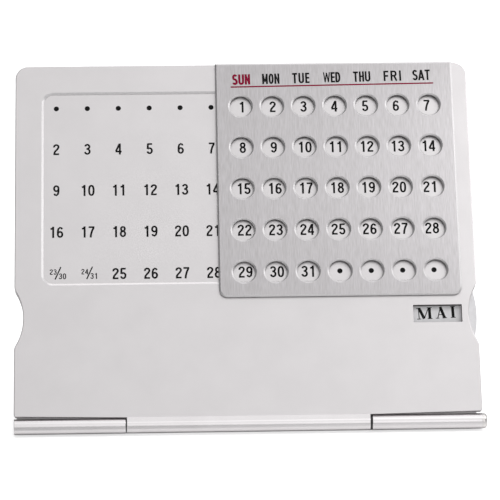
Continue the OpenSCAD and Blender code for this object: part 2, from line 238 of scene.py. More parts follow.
# Where each bright patch lies, how narrow it is, and how bright it is in its middle
ROOM_PATCHES = [
    ((0.25, -0.95, 0.19), 26, 1.23),
    ((0.0, -0.87, 0.50), 20, 0.87),
    ((0.05, -0.66, 0.75), 20, 0.29),
    ((0.0, -0.34, 0.94), 14, 0.52),
    ((0.25, -0.33, 0.91), 14, 1.04),
    ((0.0, 0.34, 0.94), 14, 1.25),
    ((0.60, 0.45, 0.65), 8, 0.70),
    ((0.95, 0.15, 0.26), 8, 0.63),
]
world = bpy.data.worlds.new("soft_room")
bpy.context.scene.world = world
world.use_nodes = True
tree = world.node_tree
tree.nodes.clear()
direction = add(tree, "ShaderNodeTexCoord").outputs["Generated"]
level = ROOM_BASE
for patch_at, narrowness, patch_level in ROOM_PATCHES:
    cosine = add(tree, "ShaderNodeVectorMath", {0: direction, 1: Vector(patch_at).normalized()},
                 operation="DOT_PRODUCT")
    in_front = add(tree, "ShaderNodeMath", {0: cosine.outputs["Value"], 1: 0.0},
                   operation="MAXIMUM")
    patch = add(tree, "ShaderNodeMath", {0: in_front, 1: narrowness}, operation="POWER")
    level = add(tree, "ShaderNodeMath", {0: patch, 1: patch_level, 2: level},
                operation="MULTIPLY_ADD")
room = add(tree, "ShaderNodeBackground", {"Color": linear("#ffffff"), "Strength": level})
plain = add(tree, "ShaderNodeBackground", {"Color": linear("#ffffff"), "Strength": 1.0})
ray = add(tree, "ShaderNodeLightPath")
seen = add(tree, "ShaderNodeMath", {0: ray.outputs["Is Camera Ray"],
                                    1: ray.outputs["Is Transmission Ray"]}, operation="MAXIMUM")
mixed = add(tree, "ShaderNodeMixShader", {0: seen, 1: room, 2: plain})
add(tree, "ShaderNodeOutputWorld", {"Surface": mixed})
bpy.context.scene.view_settings.view_transform = "Standard"
print("room has", len(ROOM_PATCHES), "bright patches")

# %% [markdown]
# ## Lamps
#
# Two small soft lamps at the upper right make the sliding plate brighter towards that side,
# and give the small shadows in the sight holes. Each is a square area lamp, turned to the
# sliding plate. A sun lamp would light the whole plate evenly, so it wouldn't do.

# %% Lamps
LAMP_SIZE = 0.10
LAMP_TARGET = Vector((0.024, -0.011, 0.060))
# Each lamp's place in metres and its power in watts
LAMPS = {
    "front_lamp": ((0.178, -0.153, 0.244), 0.072),
    "side_lamp": ((0.227, -0.091, 0.203), 0.088),
}
for name, (lamp_at, power) in LAMPS.items():
    lamp = bpy.data.objects.new(name, bpy.data.lights.new(name, "AREA"))
    lamp.data.shape = "SQUARE"
    lamp.data.size = LAMP_SIZE
    lamp.data.energy = power
    lamp.location = lamp_at
    towards = LAMP_TARGET - Vector(lamp_at)
    lamp.rotation_euler = towards.to_track_quat("-Z", "Y").to_euler()
    bpy.context.collection.objects.link(lamp)
print("lamps:", ", ".join(LAMPS))

# %% [markdown]
# ## Patterns in their real size
#
# A surface's grain has a size in millimetres, but the scale of a texture in Blender counts
# features in a metre, so one function turns the first into the second. Another one sets the
# two tones that a Color Ramp node puts on a pattern.

# %% Scales and ramps
def per_mm(size_mm):
    """The texture scale that gives features of this size."""
    return 1 / (size_mm * MM)


def paint_ramp(ramp, *stops):
    """Sets the stops of a Color Ramp node, each a position and an sRGB hex colour."""
    for element, (position, hex_colour) in zip(ramp.color_ramp.elements, stops):
        element.position = position
        element.color = linear(hex_colour)


print("grain of 0.3 mm has the texture scale", round(per_mm(0.3)))

# %% [markdown]
# ## Satin aluminium of the two leaves
#
# Both leaves are aluminium sheet, blasted with fine glass beads and then clear-anodised. The
# blasting leaves pits of about a tenth of a millimetre. They are too small to see one by one,
# but they spread every reflection into a soft, even sheen. The anodised skin is a little
# milky and scatters some light like paint, so the face's `Metallic` is 0.8 and not 1. Faint
# noise in colour and roughness keeps the large faces from looking computed. The rolled
# knuckles of the hinge are the same metal, but rolling and turning have rubbed the skin clear
# and smooth, so they show light and dark bands. Where the day field is pressed in, the metal
# is burnished a little as well.

# %% Satin aluminium
BEAD_PIT_MM, CLOUD_MM = 0.12, 9.0


def satin_aluminium(name, rough_low, rough_high, metallic):
    """Bead-blasted aluminium, whose roughness wanders between two values."""
    material, tree, output = new_material(name)
    place = add(tree, "ShaderNodeTexCoord").outputs["Object"]
    pits = add(tree, "ShaderNodeTexNoise",
               {"Vector": place, "Scale": per_mm(BEAD_PIT_MM), "Detail": 2.0})
    clouds = add(tree, "ShaderNodeTexNoise",
                 {"Vector": place, "Scale": per_mm(CLOUD_MM), "Detail": 3.0})
    colour = add(tree, "ShaderNodeValToRGB", {"Fac": clouds.outputs["Fac"]})
    paint_ramp(colour, (0.3, "#d5d2d3"), (0.7, "#dad7d8"))
    rough = add(tree, "ShaderNodeMapRange",
                {"Value": clouds.outputs["Fac"], "To Min": rough_low, "To Max": rough_high})
    bump = add(tree, "ShaderNodeBump",
               {"Height": pits.outputs["Fac"], "Strength": 0.12, "Distance": 0.02 * MM})
    metal = add(tree, "ShaderNodeBsdfPrincipled",
                {"Base Color": colour, "Metallic": metallic, "Roughness": rough, "Normal": bump})
    tree.links.new(metal.outputs[0], output.inputs["Surface"])
    return material


satin = satin_aluminium("satin_anodised_aluminium", 0.33, 0.39, 0.8)
rolled = satin_aluminium("rolled_anodised_aluminium", 0.17, 0.21, 1.0)
pressed = satin_aluminium("pressed_anodised_aluminium", 0.25, 0.28, 1.0)
print("made", satin.name, "and", rolled.name, "and", pressed.name)

# %% [markdown]
# ## Brushed aluminium of the sliding plate
#
# The sliding plate is aluminium too, but brushed up and down with an abrasive belt. The belt
# leaves fine parallel scratches, so light spreads across them far more than along them. A
# noise that is stretched along the panel's height draws the scratches. The highlight of an
# anisotropic material grows along its tangent, so the tangent runs across the scratches. Real
# scratches are about 0.03 mm wide. They are drawn at 0.25 mm, so that the grain shows at
# arm's length. Wider and longer streaks lie under them, as a worn belt leaves them.

# %% Brushed aluminium
SCRATCH_MM, SCRATCH_LENGTH_MM = 0.25, 3.0
STREAK_MM, STREAK_LENGTH_MM = 1.6, 60.0
SCRATCH_SHARE = 0.8


def brushed_aluminium():
    """Aluminium with scratches that run up the panel."""
    material, tree, output = new_material("brushed_aluminium")
    place = add(tree, "ShaderNodeMapping",
                {"Vector": add(tree, "ShaderNodeTexCoord").outputs["Object"],
                 "Rotation": (-math.radians(90 - lean), 0, 0)})
    fine = add(tree, "ShaderNodeMapping",
               {"Vector": place,
                "Scale": (per_mm(SCRATCH_MM), per_mm(SCRATCH_LENGTH_MM), per_mm(1.0))})
    scratches = add(tree, "ShaderNodeTexNoise", {"Vector": fine, "Scale": 1.0, "Detail": 3.0})
    broad = add(tree, "ShaderNodeMapping",
                {"Vector": place,
                 "Scale": (per_mm(STREAK_MM), per_mm(STREAK_LENGTH_MM), per_mm(1.0))})
    streaks = add(tree, "ShaderNodeTexNoise", {"Vector": broad, "Scale": 1.0, "Detail": 2.0})
    streak_part = add(tree, "ShaderNodeMath", {0: streaks.outputs["Fac"], 1: 1 - SCRATCH_SHARE},
                      operation="MULTIPLY")
    grain = add(tree, "ShaderNodeMath",
                {0: scratches.outputs["Fac"], 1: SCRATCH_SHARE, 2: streak_part},
                operation="MULTIPLY_ADD")
    colour = add(tree, "ShaderNodeValToRGB", {"Fac": grain})
    paint_ramp(colour, (0.35, "#b8b5b6"), (0.65, "#c9c6c8"))
    rough = add(tree, "ShaderNodeMapRange",
                {"Value": scratches.outputs["Fac"], "To Min": 0.34, "To Max": 0.46})
    bump = add(tree, "ShaderNodeBump",
               {"Height": scratches.outputs["Fac"], "Strength": 0.25, "Distance": 0.01 * MM})
    sideways = add(tree, "ShaderNodeVectorTransform", {"Vector": panel_right},
                   vector_type="VECTOR", convert_from="OBJECT", convert_to="WORLD")
    metal = add(tree, "ShaderNodeBsdfPrincipled",
                {"Base Color": colour, "Metallic": 1.0, "Roughness": rough,
                 "Anisotropic": 0.75, "Normal": bump, "Tangent": sideways})
    tree.links.new(metal.outputs[0], output.inputs["Surface"])
    return material


brushed = brushed_aluminium()
print("made", brushed.name)

# %% [markdown]
# ## Small metal, plastic, rubber and ink
#
# The rest of the finishes differ in only a few numbers: a colour, how metallic and how rough
# it is, and the size and depth of the surface's grain. One recipe serves them all. The spring
# steel of the hooks is the first to use it.

# %% Recipe for plain finishes
def plain_finish(name, dark, light, metallic, roughness, grain_mm, depth_mm, gloss=0.5):
    """A material whose colour wanders between two tones over grain of this size."""
    material, tree, output = new_material(name)
    place = add(tree, "ShaderNodeTexCoord").outputs["Object"]
    grain = add(tree, "ShaderNodeTexNoise",
                {"Vector": place, "Scale": per_mm(grain_mm), "Detail": 3.0})
    colour = add(tree, "ShaderNodeValToRGB", {"Fac": grain.outputs["Fac"]})
    paint_ramp(colour, (0.3, dark), (0.7, light))
    bump = add(tree, "ShaderNodeBump",
               {"Height": grain.outputs["Fac"], "Strength": 0.3, "Distance": depth_mm * MM})
    shader = add(tree, "ShaderNodeBsdfPrincipled",
                 {"Base Color": colour, "Metallic": metallic, "Roughness": roughness,
                  "Specular IOR Level": gloss, "Normal": bump})
    tree.links.new(shader.outputs[0], output.inputs["Surface"])
    return material


# Cold-rolled spring steel: grey, with a dull sheen from the rolls
spring_steel = plain_finish("rolled_spring_steel", "#8b8a8c", "#a3a2a4", 1.0, 0.32, 0.5, 0.01)
print("made", spring_steel.name)

# %% [markdown]
# ## Plain finishes
#
# For each finish: its two tones, how metallic and rough it is, and its grain's size and depth
# in millimetres. Metals keep Blender's usual index of refraction. Ink is the one finish with
# less gloss than plastic, because it dries matt.

# %% Plain finishes
# Nickel-plated steel of pin and screws: bright, with a little warmth
nickel_steel = plain_finish("nickel_plated_steel", "#cfcccb", "#dbd8d7", 1.0, 0.24, 0.8, 0.005)
# Cut aluminium of chamfers and field wall, dull from the tool: lighter than the faces, partly as
# fresh metal and partly as painted highlight
cut_metal_and_highlight = plain_finish("cut_aluminium_with_painted_highlight", "#d6d4d5", "#e0dedf", 1.0, 0.46, 0.3, 0.002)
# Wall of the month window: a dark grey, darker than the finished face, that is painted shade inside
# the window
window_shade_paint = plain_finish("window_wall_painted_shade", "#6b6869", "#7b7879", 1.0, 0.5, 0.2, 0.01)
# Moulded acetal: black, close-grained and slightly waxy
acetal = plain_finish("black_moulded_acetal", "#171718", "#1f1f21", 0.0, 0.45, 0.15, 0.01)
# Polystyrene sheet of the dial: pale grey, a little mottled under its matt varnish
dial_sheet = plain_finish("pale_grey_polystyrene", "#e4e3e5", "#ecebed", 0.0, 0.42, 1.2, 0.01)
# Polyethylene glide tape: matt dark grey film
glide_tape = plain_finish("grey_polyethylene_tape", "#555557", "#626264", 0.0, 0.55, 0.3, 0.01)
# Nitrile rubber: black, matt, with a fine mould texture
rubber = plain_finish("black_nitrile_rubber", "#222223", "#2d2d2e", 0.0, 0.8, 0.2, 0.02)
# Screen-printing inks lie on the metal in a thin, slightly uneven film
black_ink = plain_finish("black_screen_ink", "#0d0d0e", "#161617", 0.0, 0.6, 0.25, 0.002, 0.12)
red_ink = plain_finish("crimson_screen_ink", "#87082f", "#94143b", 0.0, 0.6, 0.25, 0.002, 0.12)
print("materials:", len(bpy.data.materials))

# %% [markdown]
# ## Outlines as points
#
# Almost every piece here is a cut sheet: an outline, some holes, two flat faces. Curves could
# be drawn as Bézier splines, but a mesh needs points in the end, and with plain lists of
# points every step can be checked. So one function gives the points of a round, and circles
# and boxes with round corners are made of that.

# %% Outlines
def arc(cx, cy, radius, start, end, steps=10):
    """Points on a round, from one angle to another in degrees."""
    angles = [math.radians(start + (end - start) * i / steps) for i in range(steps + 1)]
    return [(cx + radius * math.cos(a), cy + radius * math.sin(a)) for a in angles]


def circle(cx, cy, radius, steps=48):
    """Points on a full round."""
    return arc(cx, cy, radius, 0, 360, steps)[:-1]


def round_box(left, right, bottom, top, low_radius, high_radius):
    """A box with round corners, anticlockwise from its lower right corner."""
    points = []
    corners = ((right, bottom, low_radius, -90), (right, top, high_radius, 0),
               (left, top, high_radius, 90), (left, bottom, low_radius, 180))
    for cx, cy, radius, start in corners:
        inward_x = -radius if cx == right else radius
        inward_y = -radius if cy == top else radius
        if radius:
            points += arc(cx + inward_x, cy + inward_y, radius, start, start + 90)
        else:
            points.append((cx, cy))
    return points


print("a box with round corners has", len(round_box(0, 2, 0, 1, 0.1, 0.1)), "points")

# %% [markdown]
# ## Soft edges
#
# A real sheet has no perfectly sharp edge, and the thin bright line along an edge is what
# makes metal look real. A Bevel modifier could round every edge alike, but here a front edge,
# a rear edge and a punched edge differ. So each edge gets a short profile, which says how far
# the outline has drawn back at each level.

# %% Soft edges
# Keeps the mitre of a very sharp corner short
SHARPEST = 0.2


def drawn_in(loop, distance, free=()):
    """The loop moved inwards, or outwards if the distance is negative. Points in free stay."""
    moved = []
    for i, (x, y) in enumerate(loop):
        if i in free:
            moved.append((x, y))
            continue
        last_x, last_y = loop[i - 1]
        next_x, next_y = loop[(i + 1) % len(loop)]
        before = Vector((x - last_x, y - last_y)).normalized()
        after = Vector((next_x - x, next_y - y)).normalized()
        normal_a = Vector((-before.y, before.x))
        normal_b = Vector((-after.y, after.x))
        mitre = (normal_a + normal_b) / max(SHARPEST, 1 + normal_a.dot(normal_b)) * distance
        moved.append((x + mitre.x, y + mitre.y))
    return moved


def soft_edge(top, bottom, top_round, bottom_round, steps=3):
    """An edge's profile from its top level to its bottom level: (drawn back by, level) pairs."""
    turn = [math.pi / 2 * i / steps for i in range(steps + 1)]
    upper = [(top_round * (1 - math.sin(a)), top - top_round * (1 - math.cos(a)))
             for a in turn]
    lower = [(bottom_round * (1 - math.sin(a)), bottom + bottom_round * (1 - math.cos(a)))
             for a in turn]
    return upper + lower[::-1]


print("a 0.2 mm edge round has the profile",
      [(round(back, 2), round(level, 2)) for back, level in soft_edge(0, -1, 0.2, 0)[:4]])

# %% [markdown]
# ## Walls and flat faces
#
# A wall follows an outline down its profile, ring by ring. A flat face is filled between the
# end rings of walls. Every flat face is marked, because a later step needs to know them.

# %% Walls and flat faces
FLAT_MARK = "flat"


def wall(bm, loop, profile, sign, free=()):
    """Rings of vertices down a profile, joined by faces. Returns the first and last ring."""
    rings = [[bm.verts.new((x, y, level)) for x, y in drawn_in(loop, sign * back, free)]
             for back, level in profile]
    for upper, lower in zip(rings, rings[1:]):
        for i in range(len(loop)):
            j = (i + 1) % len(loop)
            bm.faces.new((upper[i], upper[j], lower[j], lower[i]))
    return rings[0], rings[-1]


def fill(bm, rings, facing):
    """A flat face between closed rings."""
    mark = bm.faces.layers.int.get(FLAT_MARK) or bm.faces.layers.int.new(FLAT_MARK)
    edges = []
    for ring in rings:
        for a, b in zip(ring, ring[1:] + ring[:1]):
            edges.append(bm.edges.get((a, b)) or bm.edges.new((a, b)))
    before = set(bm.faces)
    bmesh.ops.triangle_fill(bm, use_beauty=True, edges=edges, normal=(0, 0, facing))
    for face in set(bm.faces) - before:
        face[mark] = 1


print("flat faces carry the mark", repr(FLAT_MARK))

# %% [markdown]
# ## From outlines to a closed sheet
#
# `cut_sheet` makes one closed solid. The outer wall draws back into the sheet, and the wall of
# a hole draws back the other way. A hole with a floor is a pocket. Boolean cuts could do the
# same, but they leave long thin triangles and no soft edges.

# %% Cut sheets
def cut_sheet(bm, outline, profile, holes=(), pockets=(), free=()):
    """A sheet with through holes and pockets, each given as (loop, profile)."""
    top_ring, bottom_ring = wall(bm, outline, profile, 1, free)
    tops, bottoms = [top_ring], [bottom_ring]
    for loop, hole_profile in holes:
        first, last = wall(bm, loop, hole_profile, -1)
        tops.append(first)
        bottoms.append(last)
    for loop, pocket_profile in pockets:
        first, last = wall(bm, loop, pocket_profile, -1)
        tops.append(first)
        fill(bm, [last], 1)
    fill(bm, tops, 1)
    fill(bm, bottoms, -1)


trial = bmesh.new()
cut_sheet(trial, circle(0, 0, 2), soft_edge(0, -1, 0.2, 0.2),
          holes=[(circle(0, 0, 1), [(0, 0), (0, -1)])])
print("a trial washer has", len(trial.faces), "faces")
trial.free()

# %% [markdown]
# ## Normals that follow the flat faces
#
# Smooth shading alone would make the large faces look dented beside each edge, and flat
# shading would show every facet of a round. So each corner of a face gets a normal of its
# own. Where an edge runs into a marked flat face, it takes that face's normal: flat faces
# stay flat, and only the edges turn.

# %% Corner normals
def along_axis(normal):
    """The axis direction nearest to a flat face's normal, free of rounding."""
    axis = max(range(3), key=lambda i: abs(normal[i]))
    return Vector([math.copysign(1, normal[i]) if i == axis else 0 for i in range(3)])


CREASE = 35.0
NO_LENGTH = 1e-9


def corner_normals(bm):
    """A normal for each face corner: a flat face's own, or that of the flat face it meets."""
    mark = bm.faces.layers.int.get(FLAT_MARK)
    flat = {face: along_axis(face.normal) for face in bm.faces if mark and face[mark]}
    area = {face: face.calc_area() for face in bm.faces}
    limit = math.cos(math.radians(CREASE))
    normals = []
    for face in bm.faces:
        own = flat.get(face, face.normal)
        for vert in face.verts:
            near = [other for other in vert.link_faces
                    if flat.get(other, other.normal).dot(own) > limit]
            leaders = [flat[other] for other in near if other in flat]
            blend = sum((other.normal * area[other] for other in near), Vector())
            if face in flat:
                normals.append(own)
            elif leaders:
                normals.append(max(leaders, key=own.dot))
            else:
                normals.append(blend.normalized() if blend.length > NO_LENGTH else own)
    return normals


print("edges up to", CREASE, "degrees shade as one surface")

# %% [markdown]
# ## From a mesh to a piece
#
# The last helper merges doubled points, sets the normals, moves the mesh from flat
# millimetres to its place, and says which body of the mechanism the piece rides on and which
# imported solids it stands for.

# %% Finished pieces
WELD_MM = 1e-5


def finish_piece(bm, name, body, finishes, replaced=(), place=in_panel):
    """An object from bm, drawn in millimetres, standing in the frame and riding on its body."""
    bmesh.ops.remove_doubles(bm, verts=bm.verts, dist=WELD_MM)
    bmesh.ops.recalc_face_normals(bm, faces=bm.faces)
    bm.normal_update()
    turned = place.to_3x3().normalized()
    normals = [turned @ normal for normal in corner_normals(bm)]
    bm.transform(place)
    mesh = bpy.data.meshes.new(name)
    bm.to_mesh(mesh)
    bm.free()
    for finish in finishes:
        mesh.materials.append(finish)
    mesh.polygons.foreach_set("use_smooth", [True] * len(mesh.polygons))
    mesh.normals_split_custom_set(normals)
    piece = bpy.data.objects.new(name, mesh)
    bpy.context.collection.objects.link(piece)
    if replaced:
        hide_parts(*replaced)
    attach(piece, body)
    print(name, "has", len(mesh.polygons), "faces")


print("points closer than", WELD_MM, "mm are merged")

# %% [markdown]
# ## Sizes that several pieces share
#
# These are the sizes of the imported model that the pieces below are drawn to, in millimetres.
# Across and up are measured along the panel from the middle of the hinge pin, and levels out
# of its face. Sizes that only one piece needs stand in that piece's own cell.

# %% Shared sizes
PANEL_W, PANEL_H = 120.0, 98.55
INNER_EDGE, FACE_DROP = 2.35, 0.65
DIAL_X, DIAL_Y = 34.9, 28.45
# Levels, from the back plate's rear up to the sliding plate's front
BACK_REAR, BACK_FRONT = -0.85, -0.05
FACE_REAR, FACE_FRONT, FIELD_FLOOR = 0.65, 1.95, 1.50
SLIDER_REAR, SLIDER_FRONT = 2.25, 2.85
# The hinge: its barrel, the bore for the pin and the space that the other leaf turns in
BARREL_R, BORE_R, TURN_R = 2.0, 1.03, 2.1
KNUCKLE_SIDE = 31.2
print("panel and plates together are", round(SLIDER_FRONT - BACK_REAR, 2), "mm thick")

# %% [markdown]
# ## Outline of the panel
#
# Both sheets of the panel share one outline. Each side has a shallow thumb notch, with a small
# round where it runs into the straight side. Only the right side is drawn. The left one is its
# mirror image, so that both are sure to match. The face sheet reaches a little lower than the
# back plate, which is what the drop is for.

# %% Panel outline
PANEL_CORNER, LOWER_CORNER, OUTER_EDGE = 3.4, 0.7, 2.80
# The lower edge rises a little towards the side, so its corner starts just after -90 degrees
LOWER_START = -88
NOTCH_R, NOTCH_DEPTH, NOTCH_LEAD = 14.5, 2.3, 3.0


def panel_side(drop):
    """The right side of a sheet's outline, from the lower edge up to the top corner."""
    half_w = PANEL_W / 2
    lead_x = half_w - NOTCH_LEAD
    notch_x = half_w + NOTCH_R - NOTCH_DEPTH
    lead_dy = math.sqrt((NOTCH_R + NOTCH_LEAD) ** 2 - (notch_x - lead_x) ** 2)
    reach = math.degrees(math.asin(lead_dy / (NOTCH_R + NOTCH_LEAD)))
    low_y = OUTER_EDGE - drop + LOWER_CORNER
    side = [(KNUCKLE_SIDE, INNER_EDGE - drop)]
    side += arc(half_w - LOWER_CORNER, low_y, LOWER_CORNER, LOWER_START, 0, 6)
    side += arc(lead_x, DIAL_Y - lead_dy, NOTCH_LEAD, 0, reach, 8)[:-1]
    side += arc(notch_x, DIAL_Y, NOTCH_R, 180 + reach, 180 - reach, 24)
    side += arc(lead_x, DIAL_Y + lead_dy, NOTCH_LEAD, -reach, 0, 8)[1:]
    side += arc(half_w - PANEL_CORNER, PANEL_H - PANEL_CORNER, PANEL_CORNER, 0, 90, 12)
    return side


def mirrored(side):
    """The whole outline from its right side."""
    return side + [(-x, y) for x, y in reversed(side)]


face_loop = mirrored(panel_side(FACE_DROP))
back_loop = mirrored(panel_side(0))
# The two ends of the neck, where the sheet runs into the knuckle and has no soft edge
neck_ends = (0, len(face_loop) - 1)
print("panel outline has", len(face_loop), "points")

# %% [markdown]
# ## Face sheet
#
# The face of the panel is one sheet. Its day field is pressed in by less than half a
# millimetre. The field's wall slopes at about 30 degrees and ends in a small step, so it
# shows as a bright line on two sides and as a grey one at the top. Its side and top walls
# get a lighter cut-metal colour, which is partly painted highlight. The month window is
# punched right through, and its wall gets a dark grey that is painted shade. At the lower
# edge the sheet is hollow behind, where the outer knuckles turn past it.

# %% Face sheet
FIELD = (-53.0, 53.0, 37.35, 90.95)
FIELD_CORNER = 3.0
FIELD_WALL, WALL_START, WALL_FOOT = 0.50, 0.10, 1.62
WINDOW = (43.3, 55.9, 26.10, 30.80)
WINDOW_CORNER = 0.12
# Extra levels on the sheet's edge, so that the hollow behind it comes out round
EDGE_LEVELS = (1.45, 1.23, 1.05, 0.85)
# Places in the sheet's list of finishes, after the satin one
ROLLED, WINDOW_SHADE, CUT, PRESSED = 1, 2, 3, 4
# A wall is steep below the first height of its normal, and a slope below the second.
# The lower field wall is a slope whose normal points this far up the panel.
STEEP, SLOPING, UPWARD = 0.3, 0.99, 0.42


def within(x, y, box, margin):
    """Whether a point lies in a (left, right, bottom, top) box, or close around it."""
    left, right, bottom, top = box
    return left - margin < x < right + margin and bottom - margin < y < top + margin


field_wall = [(WALL_START, FACE_FRONT), (WALL_START - 0.04, FACE_FRONT - 0.015),
              (-FIELD_WALL + 0.03, WALL_FOOT), (-FIELD_WALL, FIELD_FLOOR)]
window_wall = soft_edge(FACE_FRONT, FACE_REAR, 0.08, 0.02)
rounded = soft_edge(FACE_FRONT, FACE_REAR, 0.22, 0.05)
face_edge = rounded[:4] + [(0, level) for level in EDGE_LEVELS] + rounded[4:]
bm = bmesh.new()
cut_sheet(bm, face_loop, face_edge,
          holes=[(round_box(*WINDOW, WINDOW_CORNER, WINDOW_CORNER), window_wall)],
          pockets=[(round_box(*FIELD, FIELD_CORNER, FIELD_CORNER), field_wall)],
          free=neck_ends)
bm.normal_update()
for face in bm.faces:
    x, y, z = face.calc_center_median()
    # The month window's wall takes the dark grey that is painted shade
    if abs(face.normal.z) < STEEP and within(x, y, WINDOW, 0.1):
        face.material_index = WINDOW_SHADE
    # The field's side and top walls take the cut-metal colour, lighter as painted highlight
    elif STEEP < face.normal.z < SLOPING and within(x, y, FIELD, 0.2):
        face.material_index = PRESSED if face.normal.y > UPWARD else CUT
for vert in bm.verts:
    if vert.co.y > 0 and math.hypot(vert.co.y, vert.co.z) < TURN_R:
        vert.co.y = math.sqrt(TURN_R ** 2 - vert.co.z ** 2)
print("faces on walls:", sum(face.material_index > 0 for face in bm.faces))

# %% [markdown]
# ## Shapes pushed out along the hinge
#
# Knuckles and hooks have one outline all along the hinge's direction. Such an outline is
# drawn in the plane across the hinge and pushed out along it: its own x, y and z become the
# panel's or the base's y, z and x. The result then joins the sheet that it belongs to.

# %% Lengthways shapes
LENGTHWAYS = Matrix(((0, 0, 1, 0), (1, 0, 0, 0), (0, 1, 0, 0), (0, 0, 0, 1)))


def lengthways(outline, profile, holes=(), free=()):
    """A cut sheet that is drawn across the hinge and turned to lie along it."""
    bm = bmesh.new()
    cut_sheet(bm, outline, profile, holes=holes, free=free)
    bm.transform(LENGTHWAYS)
    return bm


def join(bm, other, finish):
    """Adds another bmesh to bm, with its own place in the piece's list of finishes."""
    for face in other.faces:
        face.material_index = finish
    spare = bpy.data.meshes.new("spare")
    other.to_mesh(spare)
    other.free()
    bm.from_mesh(spare)
    bpy.data.meshes.remove(spare)


print("a point at 0, 0, 1 goes to", tuple(LENGTHWAYS @ Vector((0, 0, 1))))

# %% [markdown]
# ## Middle knuckle
#
# At the bottom, the face sheet runs into the wide middle knuckle of the hinge. A small hollow
# lies where the flat face meets the round. The knuckle and the sheet are one piece of metal,
# so they are joined into one mesh, and only the knuckle gets the smoother rolled finish.

# %% Middle knuckle
HOLLOW_R = 1.0
KNUCKLE_ROUND = 0.12
hollow_y = math.sqrt((BARREL_R + HOLLOW_R) ** 2 - (FACE_FRONT + HOLLOW_R) ** 2)
meet = math.degrees(math.atan2(FACE_FRONT + HOLLOW_R, hollow_y))
rear_meet = 360 - math.degrees(math.asin(-BACK_REAR / BARREL_R))
face_end = INNER_EDGE - FACE_DROP
neck = [(INNER_EDGE, BACK_REAR), (INNER_EDGE, FACE_REAR), (face_end, FACE_REAR),
        (face_end, FACE_FRONT)]
hollow = arc(hollow_y, FACE_FRONT + HOLLOW_R, HOLLOW_R, 270, 180 + meet, 5)
barrel = arc(0, 0, BARREL_R, meet, rear_meet, 60)[1:]
bore_loop = circle(0, 0, BORE_R, 40)
knuckle = lengthways(neck + hollow + barrel,
                     soft_edge(KNUCKLE_SIDE, -KNUCKLE_SIDE, KNUCKLE_ROUND, KNUCKLE_ROUND),
                     holes=[(bore_loop, soft_edge(KNUCKLE_SIDE, -KNUCKLE_SIDE, 0, 0, 1))],
                     free=range(len(neck)))
join(bm, knuckle, ROLLED)
finish_piece(bm, "face_sheet", "panel", (satin, rolled, window_shade_paint, cut_metal_and_highlight, pressed),
             ["front_panel"])

# %% [markdown]
# ## Back plate
#
# The back plate closes the panel. It has the countersunk holes of eight screws and of the
# dial's pivot, because nothing may stand proud of it when the calendar is folded flat. The
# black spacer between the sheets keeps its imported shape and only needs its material.

# %% Back plate
SCREW_INSET, LOW_SCREW_Y, MID_SCREW_Y = 3.5, 8.0, 62.0
SCREW_HOLE_R, PIVOT_HOLE_R, FLARE, HEAD_DEPTH = 0.82, 1.52, 0.70, 0.6
screw_x = PANEL_W / 2 - SCREW_INSET
top_screw_y = PANEL_H - SCREW_INSET
screw_places = [(x, y) for x in (-screw_x, screw_x)
                for y in (LOW_SCREW_Y, MID_SCREW_Y, top_screw_y)]
screw_places += [(0, LOW_SCREW_Y), (0, top_screw_y)]
screw_seat = [(0, BACK_FRONT), (0, BACK_REAR + HEAD_DEPTH), (FLARE, BACK_REAR)]
pivot_seat = [(0, BACK_FRONT), (FLARE, BACK_REAR)]
seats = [(circle(x, y, SCREW_HOLE_R, 32), screw_seat) for x, y in screw_places]
seats.append((circle(DIAL_X, DIAL_Y, PIVOT_HOLE_R, 32), pivot_seat))
bm = bmesh.new()
cut_sheet(bm, back_loop, soft_edge(BACK_FRONT, BACK_REAR, 0.04, 0.2), holes=seats,
          free=neck_ends)
finish_piece(bm, "back_sheet", "panel", (satin,), ["back_plate"])

# %% [markdown]
# ## Sliding plate
#
# The weekday plate is a thin brushed sheet with 35 sight holes. Plate and holes have a flat
# cut at the front, about 0.4 mm wide and 0.25 mm deep. A deeper cut would mirror the inside of
# its own hole and look dark. This one mirrors the room, and its lighter colour is partly a
# painted highlight, so each hole has its pale crescent. The cut is made last, after brushing,
# so it gets the colour of fresh metal, made lighter as painted highlight.

# %% Sliding plate
SLIDER_LEFT, SLIDER_RIGHT, SLIDER_BOTTOM, SLIDER_CORNER = -7.0, 56.2, 33.35, 2.2
HOLE_R, HOLE_PITCH_X, HOLE_PITCH_Y, FIRST_HOLE_Y = 2.9, 8.33, 11.55, 86.35
HOLE_CUT, PLATE_CUT, CUT_DEPTH = 0.38, 0.4, 0.25
HOLE_COLUMNS, HOLE_ROWS = 7, 5
CUT_FACE = 1
slider_mid = (SLIDER_LEFT + SLIDER_RIGHT) / 2
hole_centres = [(slider_mid + (column - HOLE_COLUMNS // 2) * HOLE_PITCH_X,
                 FIRST_HOLE_Y - row * HOLE_PITCH_Y)
                for row in range(HOLE_ROWS) for column in range(HOLE_COLUMNS)]


def flat_cut(width):
    """The profile of a flat cut along an edge, with a soft upper lip."""
    return [(width + 0.03, SLIDER_FRONT), (width - 0.02, SLIDER_FRONT - 0.02),
            (0, SLIDER_FRONT - CUT_DEPTH)]


slider_loop = round_box(SLIDER_LEFT, SLIDER_RIGHT, SLIDER_BOTTOM, PANEL_H, SLIDER_CORNER, 0)
hole_edge = flat_cut(HOLE_CUT) + [(0, SLIDER_REAR)]
bm = bmesh.new()
cut_sheet(bm, slider_loop, flat_cut(PLATE_CUT) + [(0, SLIDER_REAR + 0.03), (0.03, SLIDER_REAR)],
          holes=[(circle(x, y, HOLE_R), hole_edge) for x, y in hole_centres])
bm.normal_update()
for face in bm.faces:
    # Chamfer faces take the cut-metal colour, lighter as painted highlight
    if STEEP < abs(face.normal.z) < SLOPING:
        face.material_index = CUT_FACE
finish_piece(bm, "weekday_plate", "slider", (brushed, cut_metal_and_highlight),
             ["slider_plate"])

# %% [markdown]
# ## Spring hooks
#
# Two hooks of thin spring steel carry the sliding plate on the panel's top edge. Each is one
# strip, bent twice: a tab behind the plate, a web over the edge and a leg down the back. Bent
# steel always has a round inside its bend, so the strip follows a line with two round corners.

